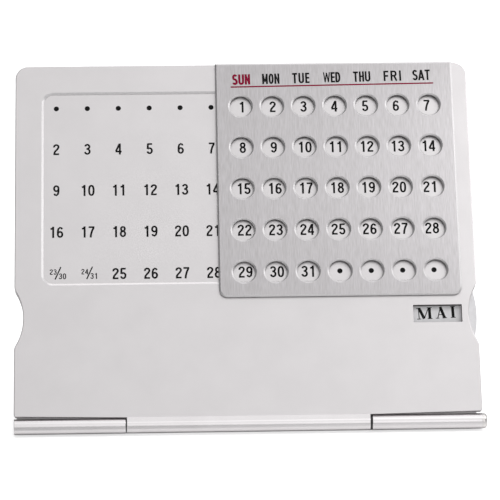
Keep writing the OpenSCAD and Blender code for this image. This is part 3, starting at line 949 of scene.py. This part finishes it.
# %% Spring hooks
HOOK_T, HOOK_W, HOOK_X, HOOK_BEND, HOOK_GAP = 0.25, 9.0, 23.1, 0.42, 0.05
TAB_LENGTH, LEG_LENGTH = 5.0, 6.9
tab_z = SLIDER_REAR - HOOK_T / 2
leg_z = BACK_REAR - HOOK_GAP - HOOK_T / 2
web_y = PANEL_H + HOOK_GAP + HOOK_T / 2


def hook_line(shift):
    """The hook's bent line, moved to one side by shift, from the tab to the leg."""
    bend = HOOK_BEND - shift
    inner_y = web_y - HOOK_BEND
    line = [(PANEL_H - TAB_LENGTH, tab_z - shift)]
    line += arc(inner_y, tab_z - HOOK_BEND, bend, 90, 0, 6)
    line += arc(inner_y, leg_z + HOOK_BEND, bend, 0, -90, 6)
    return line + [(PANEL_H - LEG_LENGTH, leg_z + shift)]


hook_loop = (hook_line(-HOOK_T / 2) + hook_line(HOOK_T / 2)[::-1])[::-1]
for side, sign in (("left", -1), ("right", 1)):
    middle = slider_mid + sign * HOOK_X
    edge = soft_edge(middle + HOOK_W / 2, middle - HOOK_W / 2, 0.05, 0.05, 2)
    finish_piece(lengthways(hook_loop, edge), f"bent_hook_{side}", "slider", (spring_steel,),
                 [f"slider_hook_{side}"])

# %% [markdown]
# ## Base leaf
#
# The base leaf lies on the desk behind the panel. Its front edge is rolled into the two outer
# knuckles of the hinge, which are tubes that run into the flat leaf. Between them the leaf is
# cut back, to make room for the middle knuckle.

# %% Base leaf
LEAF_BOTTOM, LEAF_TOP, LEAF_START, LEAF_DEPTH, LEAF_CORNER = -2.0, -1.2, 0.6, 89.25, 3.4
LEFT_GAP, RIGHT_GAP = 0.25, 0.5
half_w = PANEL_W / 2
left_end = -KNUCKLE_SIDE - LEFT_GAP
right_end = KNUCKLE_SIDE + RIGHT_GAP
leaf_loop = [(left_end, LEAF_START), (left_end, INNER_EDGE), (right_end, INNER_EDGE),
             (right_end, LEAF_START), (half_w, LEAF_START)]
leaf_loop += arc(half_w - LEAF_CORNER, LEAF_DEPTH - LEAF_CORNER, LEAF_CORNER, 0, 90, 12)
leaf_loop += arc(-half_w + LEAF_CORNER, LEAF_DEPTH - LEAF_CORNER, LEAF_CORNER, 90, 180, 12)
leaf_loop += [(-half_w, LEAF_START)]
bm = bmesh.new()
cut_sheet(bm, leaf_loop, soft_edge(LEAF_TOP, LEAF_BOTTOM, 0.15, 0.15),
          free=(0, 3, 4, len(leaf_loop) - 1))
for low, high in ((-half_w, left_end), (right_end, half_w)):
    knuckle = lengthways(circle(0, 0, BARREL_R, 72),
                         soft_edge(high, low, KNUCKLE_ROUND, KNUCKLE_ROUND),
                         holes=[(bore_loop, soft_edge(high, low, 0, 0, 1))])
    join(bm, knuckle, ROLLED)
finish_piece(bm, "base_sheet", "base", (satin, rolled), ["base_leaf"], in_base)

# %% [markdown]
# ## Characters made of strokes
#
# A picture of the print would blur close up, and a text object would need a font file. Here
# every character is a few pen strokes instead, in units of its own height. Straight strokes
# are given by their points, and round ones are parts of an oval.

# %% Round strokes
def bow(cx, cy, rx, ry, start, end, steps=14, square=1.0):
    """Points on an oval, from one angle to another. Below 1, square flattens its sides."""
    points = []
    for i in range(steps + 1):
        angle = math.radians(start + (end - start) * i / steps)
        c, s = math.cos(angle), math.sin(angle)
        points.append((cx + rx * math.copysign(abs(c) ** square, c),
                       cy + ry * math.copysign(abs(s) ** square, s)))
    return points


print("a bow from 0 to 90 degrees starts at", bow(0, 0, 1, 1, 0, 90)[0])

# %% [markdown]
# ## Films of ink
#
# Numbers and names are screen-printed, so each is a film of ink about a hundredth of a
# millimetre thick. One function turns a stroke into a flat ribbon, and another places a
# character's strokes. Strokes that cross lie at slightly different levels, so that no two
# faces coincide.

# %% Ribbons of ink
INK_MM, STROKE_STEP_MM = 0.012, 0.0008
SAME_POINT = 1e-6


def ribbon(bm, points, widths, level, place):
    """A thin prism along points, with a width at each. place maps a point to the sheet."""
    closed = math.dist(points[0], points[-1]) < SAME_POINT
    if closed:
        points, widths = points[:-1], widths[:-1]
    rows = []
    for i, (x, y) in enumerate(points):
        a = points[i - 1] if closed or i else points[i]
        b = points[(i + 1) % len(points)] if closed or i + 1 < len(points) else points[i]
        along = Vector((b[0] - a[0], b[1] - a[1])).normalized()
        shift = Vector((-along.y, along.x)) * widths[i] / 2
        sides = [place(x + shift.x, y + shift.y), place(x - shift.x, y - shift.y)]
        rows.append([bm.verts.new((px, py, z)) for z in (level, level - INK_MM)
                     for px, py in sides])
    following = rows[1:] + rows[:1] if closed else rows[1:]
    for (a, b, c, d), (e, f, g, h) in zip(rows, following):
        for face in ((a, e, f, b), (c, d, h, g), (a, c, g, e), (b, f, h, d)):
            bm.faces.new(face)
    if not closed:
        for a, b, c, d in (rows[0], rows[-1]):
            bm.faces.new((a, b, d, c))


def write(bm, strokes, x, y, height, level, width=1.0, turn=0.0):
    """One character with its lower left corner at x, y. Each stroke is (widths, points)."""
    c, s = math.cos(math.radians(turn)), math.sin(math.radians(turn))

    def place(u, v):
        u, v = u * height * width, v * height
        return x + u * c - v * s, y + u * s + v * c

    for number, (widths, points) in enumerate(strokes):
        if not isinstance(widths, (list, tuple)):
            widths = [widths] * len(points)
        ribbon(bm, points, widths, level + INK_MM + STROKE_STEP_MM * number, place)


print("an ink film is", INK_MM, "mm thick")

# %% [markdown]
# ## Narrow figures
#
# The day numbers are narrow figures without serifs. A round figure is one or two bows, and a
# straight one is a few lines. A 9 is a 6 turned round, as in many typefaces.

# %% Figures
PEN, FIGURE_W = 0.152, 0.51
FIGURES = {
    "0": [bow(0.255, 0.5, 0.172, 0.417, 0, 360, 28, 0.8)],
    "1": [[(0.31, 0), (0.31, 1)], [(0.10, 0.79), (0.20, 0.805), (0.27, 0.86), (0.30, 0.97)]],
    "2": [bow(0.255, 0.745, 0.17, 0.172, 195, -25)
          + [(0.33, 0.53), (0.2, 0.38), (0.125, 0.25), (0.095, 0.083)],
          [(0.03, 0.08), (0.47, 0.08)]],
    "3": [bow(0.245, 0.735, 0.16, 0.182, 170, -80), bow(0.245, 0.3, 0.18, 0.217, 85, -170),
          [(0.18, 0.53), (0.27, 0.53)]],
    "4": [[(0.335, 0.97), (0.05, 0.30)], [(0.02, 0.27), (0.49, 0.27)], [(0.355, 0), (0.355, 1)]],
    "5": [[(0.10, 0.925), (0.45, 0.925)], [(0.125, 0.96), (0.10, 0.47)],
          bow(0.25, 0.315, 0.175, 0.235, 140, -165)],
    "6": [bow(0.255, 0.31, 0.17, 0.228, 0, 360, 24),
          [(0.085, 0.4), (0.09, 0.6), (0.13, 0.8), (0.25, 0.917), (0.36, 0.87), (0.41, 0.76)]],
    "7": [[(0.03, 0.925), (0.48, 0.925)], [(0.43, 0.9), (0.30, 0.6), (0.22, 0.3), (0.19, 0)]],
    "8": [bow(0.255, 0.735, 0.145, 0.182, 0, 360, 24),
          bow(0.255, 0.305, 0.17, 0.222, 0, 360, 24)],
}
FIGURES["9"] = [[(FIGURE_W - x, 1 - y) for x, y in line] for line in FIGURES["6"]]
FIGURES = {name: [(PEN, line) for line in lines] for name, lines in FIGURES.items()}
print("figures drawn:", " ".join(sorted(FIGURES)))

# %% [markdown]
# ## Day grid
#
# The field has thirteen columns and five rows. Each row starts seven days after the one above
# it, and every place before the first or after the last day has a dot. Most days stand in the
# field twice, seven columns apart, so any seven columns next to each other hold a whole month.
# In two places of the last row two days share the room, with a slash between them.

# %% Day grid
COLUMNS, ROWS, WEEK, FIRST_DAY_COLUMN, LAST_DAY = 13, 5, 7, 6, 31
SHARED_COLUMNS = 2
# The middle of one column and of the first row, and the steps from there
GRID_COLUMN, GRID_X, GRID_STEP_X, GRID_Y, GRID_STEP_Y = 9, 24.6, 8.2, 86.60, 11.53
DOT_R = 0.69
FIGURE_WIDER, FIGURE_H, FIGURE_STEP = 1.1, 3.1, 1.98
# For two days in one place: the shift to the right and up, the height and the figures' step
UPPER_DAY = (-0.78, 0.62, 1.5, 1.0)
LOWER_DAY = (1.62, -0.58, 1.6, 1.03)
SLASH = [(0.33, [(1.2, 1.97), (-0.3, -1.43)])]


def number_at(bm, number, x, y, height=FIGURE_H, step=FIGURE_STEP):
    """A number centred at x, y on the floor of the day field."""
    text = str(number)
    left = x - step * (len(text) - 1) / 2 - FIGURE_W * FIGURE_WIDER * height / 2
    for place, figure in enumerate(text):
        write(bm, FIGURES[figure], left + place * step, y - height / 2, height, FIELD_FLOOR,
              FIGURE_WIDER)


def shared_place(bm, upper, lower, x, y):
    """Two small numbers with a slash between them."""
    for number, (right, up, height, step) in ((upper, UPPER_DAY), (lower, LOWER_DAY)):
        number_at(bm, number, x + right, y + up, height, step)
    write(bm, SLASH, x, y, 1.0, FIELD_FLOOR)


bm = bmesh.new()
for row in range(ROWS):
    for column in range(COLUMNS):
        x = GRID_X + (column - GRID_COLUMN) * GRID_STEP_X
        y = GRID_Y - row * GRID_STEP_Y
        day = WEEK * row + column - FIRST_DAY_COLUMN + 1
        if row == ROWS - 1 and column < SHARED_COLUMNS:
            shared_place(bm, day, day + WEEK, x, y)
        elif 1 <= day <= LAST_DAY:
            number_at(bm, day, x, y)
        else:
            dot = [(0, FIELD_FLOOR + INK_MM), (0, FIELD_FLOOR)]
            cut_sheet(bm, circle(x, y, DOT_R, 24), dot)
finish_piece(bm, "printed_day_numbers", "panel", (black_ink,))

# %% [markdown]
# ## Plain capitals
#
# The weekday names are plain wide capitals. Each letter here is its width and its strokes.
# Only the letters that the seven names need are drawn.

# %% Capitals
CAPITALS = {
    "S": (0.44, [bow(0.22, 0.735, 0.145, 0.185, 25, 180)
                 + bow(0.22, 0.735, 0.145, 0.22, 195, 262, 4)
                 + bow(0.215, 0.285, 0.155, 0.225, 78, 0, 6)
                 + bow(0.215, 0.285, 0.155, 0.205, -15, -160)]),
    "U": (0.49, [[(0.08, 1)] + bow(0.245, 0.28, 0.165, 0.2, 180, 360) + [(0.41, 1)]]),
    "N": (0.43, [[(0.07, 0), (0.07, 1)], [(0.36, 0), (0.36, 1)], [(0.08, 0.96), (0.35, 0.04)]]),
    "M": (0.50, [[(0.08, 0), (0.08, 1)], [(0.42, 0), (0.42, 1)], [(0.09, 0.97), (0.25, 0.2)],
                 [(0.41, 0.97), (0.25, 0.2)]]),
    "O": (0.44, [bow(0.22, 0.5, 0.14, 0.418, 0, 360, 28, 0.85)]),
    "T": (0.46, [[(0.0, 0.92), (0.46, 0.92)], [(0.23, 0), (0.23, 0.95)]]),
    "E": (0.38, [[(0.08, 0), (0.08, 1)], [(0.08, 0.92), (0.38, 0.92)], [(0.08, 0.51), (0.36, 0.51)],
                 [(0.08, 0.08), (0.38, 0.08)]]),
    "W": (0.64, [[(0.06, 1), (0.17, 0.03)], [(0.17, 0.03), (0.32, 0.95)],
                 [(0.32, 0.95), (0.47, 0.03)], [(0.47, 0.03), (0.58, 1)]]),
    "D": (0.45, [[(0.08, 0), (0.08, 1)],
                 [(0.08, 0.92), (0.2, 0.92)] + bow(0.2, 0.5, 0.17, 0.42, 90, -90)
                 + [(0.08, 0.08)]]),
    "H": (0.45, [[(0.08, 0), (0.08, 1)], [(0.37, 0), (0.37, 1)], [(0.08, 0.52), (0.37, 0.52)]]),
    "F": (0.45, [[(0.08, 0), (0.08, 1)], [(0.08, 0.92), (0.45, 0.92)],
                 [(0.08, 0.50), (0.41, 0.50)]]),
    "R": (0.60, [[(0.08, 0), (0.08, 1)],
                 [(0.08, 0.92), (0.31, 0.92)] + bow(0.31, 0.71, 0.17, 0.21, 90, -90)
                 + [(0.08, 0.50)], [(0.32, 0.5), (0.53, 0.0)]]),
    "I": (0.163, [[(0.082, 0), (0.082, 1)]]),
    "A": (0.52, [[(0.05, 0), (0.26, 0.99)], [(0.26, 0.99), (0.47, 0)],
                 [(0.12, 0.27), (0.40, 0.27)]]),
}
print("capitals drawn:", " ".join(CAPITALS))

# %% [markdown]
# ## Weekday names and rule
#
# The first day and the rule below the names are crimson, the rest is black, and the lines
# rise a little towards the right, as a hand-set screen leaves them. The crimson ink is laid on
# thicker. Slanted strokes are drawn lighter, so that the corners of N, M and W stay open.

# %% Weekday names and rule
# For each name: its left and right end in millimetres, its height, and its ink
WEEKDAYS = (("SUN", -2.36, 2.25, 2.95, red_ink), ("MON", 5.55, 10.10, 2.95, black_ink),
            ("TUE", 13.55, 18.15, 2.95, black_ink), ("WED", 21.80, 26.40, 2.95, black_ink),
            ("THU", 29.80, 34.40, 2.95, black_ink), ("FRI", 37.95, 42.60, 2.95, black_ink),
            ("SAT", 45.70, 50.35, 3.00, black_ink))
PENS = {black_ink: 0.168, red_ink: 0.20}
SLANTED, SLANTED_SHARE = {"N": (2,), "M": (2, 3), "W": (0, 1, 2, 3)}, 0.62
NAME_SLOPE, NAME_X, NAME_Y = 0.0165, -2.36, 92.42
RULE = [(0.38, [(-2.9, 91.80), (51.1, 92.42)])]
films = {black_ink: bmesh.new(), red_ink: bmesh.new()}
for name, left, right, height, ink in WEEKDAYS:
    widths = [CAPITALS[letter][0] * height for letter in name]
    gap = (right - left - sum(widths)) / (len(name) - 1)
    x = left
    for letter, width in zip(name, widths):
        light = SLANTED.get(letter, ())
        strokes = [(PENS[ink] * (SLANTED_SHARE if number in light else 1), line)
                   for number, line in enumerate(CAPITALS[letter][1])]
        write(films[ink], strokes, x, NAME_Y + NAME_SLOPE * (x - NAME_X), height, SLIDER_FRONT,
              turn=math.degrees(NAME_SLOPE))
        x += width + gap
write(films[red_ink], RULE, 0, 0, 1.0, SLIDER_FRONT)
finish_piece(films[black_ink], "printed_weekdays", "slider", (black_ink,))
finish_piece(films[red_ink], "printed_rule", "slider", (red_ink,))

# %% [markdown]
# ## Parts of a serif letter
#
# The month names have serifs: thick stems, hairlines and short bars at the ends. Their letters
# repeat a few parts, so each part is a function: a bar, a stem with two bars, a stroke that
# swells like one of a flat pen, and the bowl of a B or D.

# %% Parts of a serif letter
THICK, THIN, HAIR_PEN = 0.235, 0.06, 0.075
BEYOND_STEM = 0.085
SWELL, SWELL_STEPS = 1.4, 20


def bar(x, y, reach=0.17):
    """A serif, centred at x."""
    return THIN, [(x - reach, y), (x + reach, y)]


def stem(x, width=THICK, low=0.0, high=1.0):
    """An upright with a serif at both ends."""
    reach = width / 2 + BEYOND_STEM
    return [(width, [(x, low), (x, high)]), bar(x, low + THIN / 2, reach),
            bar(x, high - THIN / 2, reach)]


def round_stroke(cx, cy, rx, ry, start, end, thick=THICK):
    """A bow that is thick at its sides and thin at its top and bottom, as a flat pen draws it."""
    points = bow(cx, cy, rx, ry, start, end, SWELL_STEPS)
    turns = [math.radians(start + (end - start) * i / SWELL_STEPS)
             for i in range(SWELL_STEPS + 1)]
    return [THIN + (thick - THIN) * abs(math.cos(t)) ** SWELL for t in turns], points


def bowl(x, low, high, reach):
    """The right half of an oval that closes on a stem at x."""
    middle, half = (low + high) / 2, (high - low) / 2
    return [round_stroke(x, middle, reach, half, 90, -90)]


print("a stem has", len(stem(0)), "strokes")

# %% [markdown]
# ## Serif capitals
#
# These are the letters that the twelve month names need, each with its width and its strokes.
# As in most such letters, strokes that slant down to the right are thick and the others thin.

# %% Serif capitals
SERIFS = {
    "A": (0.92, [(HAIR_PEN, [(0.17, 0.03), (0.46, 1.0)]), (THICK, [(0.43, 1.0), (0.74, 0.02)]),
                 (THIN, [(0.27, 0.32), (0.62, 0.32)]), bar(0.15, 0.03, 0.14),
                 bar(0.74, 0.03, 0.19)]),
    "M": (1.32, [(HAIR_PEN, [(0.2, 0), (0.2, 0.97)]), (THICK, [(0.24, 0.97), (0.62, 0.04)]),
                 (HAIR_PEN, [(0.62, 0.04), (1.03, 0.97)]), bar(0.19, 0.03, 0.17),
                 bar(0.17, 0.97, 0.17)] + stem(1.1)),
    "I": (0.56, stem(0.28)),
    "J": (0.66, [(THICK, [(0.4, 1), (0.4, 0.25)]), bar(0.4, 0.97, 0.2),
                 round_stroke(0.2, 0.24, 0.2, 0.2, 0, -190)]),
    "N": (1.02, [(HAIR_PEN, [(0.2, 0), (0.2, 0.97)]), (THICK, [(0.22, 0.95), (0.82, 0.05)]),
                 (HAIR_PEN, [(0.84, 0.02), (0.84, 0.97)]), bar(0.2, 0.03), bar(0.16, 0.97),
                 bar(0.84, 0.97)]),
    "F": (0.86, stem(0.26)
          + [(THIN, [(0.26, 0.97), (0.8, 0.97)]), (THIN, [(0.26, 0.5), (0.6, 0.5)]),
             (THIN, [(0.79, 0.98), (0.8, 0.72)]), (THIN, [(0.6, 0.63), (0.6, 0.37)])]),
    "E": (0.9, stem(0.26)
          + [(THIN, [(0.26, 0.97), (0.8, 0.97)]), (THIN, [(0.26, 0.5), (0.6, 0.5)]),
             (THIN, [(0.26, 0.03), (0.84, 0.03)]), (THIN, [(0.79, 0.98), (0.8, 0.74)]),
             (THIN, [(0.6, 0.62), (0.6, 0.38)]), (THIN, [(0.84, 0.02), (0.87, 0.28)])]),
    "B": (0.88, stem(0.26) + bowl(0.36, 0.52, 0.97, 0.31) + bowl(0.36, 0.03, 0.53, 0.38)),
    "P": (0.84, stem(0.26) + bowl(0.36, 0.45, 0.97, 0.36)),
    "R": (0.98, stem(0.26) + bowl(0.36, 0.48, 0.97, 0.34)
          + [(THICK, [(0.5, 0.5), (0.83, 0.02)]), bar(0.87, 0.03, 0.12)]),
    "D": (0.98, stem(0.26) + bowl(0.34, 0.03, 0.97, 0.5)),
    "U": (0.98, [(THICK, [(0.27, 1), (0.27, 0.3)]), (HAIR_PEN, [(0.8, 0.97), (0.8, 0.32)]),
                 bar(0.27, 0.97, 0.2), bar(0.8, 0.97, 0.15),
                 round_stroke(0.535, 0.32, 0.265, 0.29, 180, 270),
                 round_stroke(0.535, 0.32, 0.265, 0.29, 270, 360, HAIR_PEN)]),
    "L": (0.86, stem(0.26)
          + [(THIN, [(0.26, 0.03), (0.8, 0.03)]), (THIN, [(0.8, 0.02), (0.83, 0.32)])]),
    "G": (1.04, [round_stroke(0.5, 0.5, 0.38, 0.47, 50, 310), (THICK, [(0.82, 0.06), (0.82, 0.42)]),
                 bar(0.82, 0.42, 0.2), (THIN, [(0.8, 0.98), (0.82, 0.7)])]),
    "S": (0.74, [round_stroke(0.36, 0.74, 0.2, 0.23, 40, 200),
                 (THICK, [(0.22, 0.63), (0.54, 0.37)]),
                 round_stroke(0.36, 0.26, 0.22, 0.23, 20, -150),
                 (THIN, [(0.58, 0.97), (0.6, 0.7)]), (THIN, [(0.12, 0.04), (0.1, 0.32)])]),
    "O": (1.04, [round_stroke(0.52, 0.5, 0.39, 0.47, 0, 360)]),
    "K": (1.06, stem(0.26)
          + [(HAIR_PEN, [(0.36, 0.42), (0.82, 0.96)]), (THICK, [(0.5, 0.56), (0.86, 0.03)]),
             bar(0.82, 0.97, 0.14), bar(0.86, 0.03, 0.18)]),
    "T": (0.9, stem(0.45)
          + [(THIN, [(0.06, 0.97), (0.84, 0.97)]), (THIN, [(0.07, 0.98), (0.05, 0.7)]),
             (THIN, [(0.83, 0.98), (0.85, 0.7)])]),
    "V": (0.98, [(THICK, [(0.22, 0.97), (0.54, 0.04)]), (HAIR_PEN, [(0.54, 0.04), (0.82, 0.97)]),
                 bar(0.2, 0.97, 0.2), bar(0.82, 0.97, 0.15)]),
    "Z": (0.88, [(THICK, [(0.68, 0.93), (0.2, 0.07)]), (THIN, [(0.1, 0.97), (0.78, 0.97)]),
                 (THIN, [(0.08, 0.03), (0.8, 0.03)]), (THIN, [(0.11, 0.98), (0.09, 0.7)]),
                 (THIN, [(0.8, 0.02), (0.83, 0.3)])]),
}
print("serif capitals drawn:", " ".join(SERIFS))

# %% [markdown]
# ## Month names round the dial
#
# Twelve names lie round the dial like the spokes of a wheel, so each turn of 30 degrees brings
# one upright into the window. The dial stands two degrees off, as a hand leaves it. Wide names
# are set closer, and the one with dots over its vowel is a little lower, so that all fit.

# %% Month names round the dial
MONTHS = ("MAI", "JUN", "JUL", "AUG", "SEP", "OKT", "NOV", "DEZ", "JAN", "FEB", "MÄR", "APR")
MONTH_H, DOTTED_MONTH_H, MONTH_R, MONTH_GAP, MONTH_ROOM = 3.14, 2.9, 14.5, 0.80, 11.6
DIAL_FRONT, DIAL_OFF, MONTH_TURN = 0.55, 2.2, 30
# The two dots of an umlaut, each a short stroke this wide
DOT_PEN, DOT_REACH, DOT_Y, DOTS_X = 0.15, 0.075, 1.15, (0.3, 0.6)
bm = bmesh.new()
for number, month in enumerate(MONTHS):
    letters = month.replace("Ä", "A")
    height = DOTTED_MONTH_H if "Ä" in month else MONTH_H
    angle = DIAL_OFF - MONTH_TURN * number
    letters_w = sum(SERIFS[letter][0] for letter in letters) * height
    gap = min(MONTH_GAP, (MONTH_ROOM - letters_w) / 2)
    x = MONTH_R - letters_w / 2 - gap
    low = -height / 2
    c, s = math.cos(math.radians(angle)), math.sin(math.radians(angle))
    for letter, written in zip(letters, month):
        width, strokes = SERIFS[letter]
        if written == "Ä":
            strokes = strokes + [(DOT_PEN, [(u - DOT_REACH, DOT_Y), (u + DOT_REACH, DOT_Y)])
                                 for u in DOTS_X]
        write(bm, strokes, DIAL_X + x * c - low * s, DIAL_Y + x * s + low * c, height,
              DIAL_FRONT, turn=angle)
        x += width * height + gap
finish_piece(bm, "printed_months", "dial", (black_ink,))

# %% [markdown]
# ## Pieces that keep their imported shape
#
# Pin, washers, screws, spacer, dial, pivot, glides and feet already have the right shape. They
# only swap their plain packed material for a finish made above.

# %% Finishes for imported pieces
KEPT_FINISHES = {
    "spacer_frame": acetal, "back_screws": nickel_steel, "dial_pivot": nickel_steel,
    "dial_washer": glide_tape, "month_dial": dial_sheet, "upper_glide": glide_tape,
    "lower_glide": glide_tape, "hinge_pin": nickel_steel, "hinge_washer_left": acetal,
    "hinge_washer_right": acetal, "foot_front_left": rubber, "foot_front_right": rubber,
    "foot_rear_left": rubber, "foot_rear_right": rubber,
}
for node_name, finish in KEPT_FINISHES.items():
    for material_slot in cad_nodes[node_name].material_slots:
        material_slot.material = finish
print("packed pieces with a new finish:", len(KEPT_FINISHES))
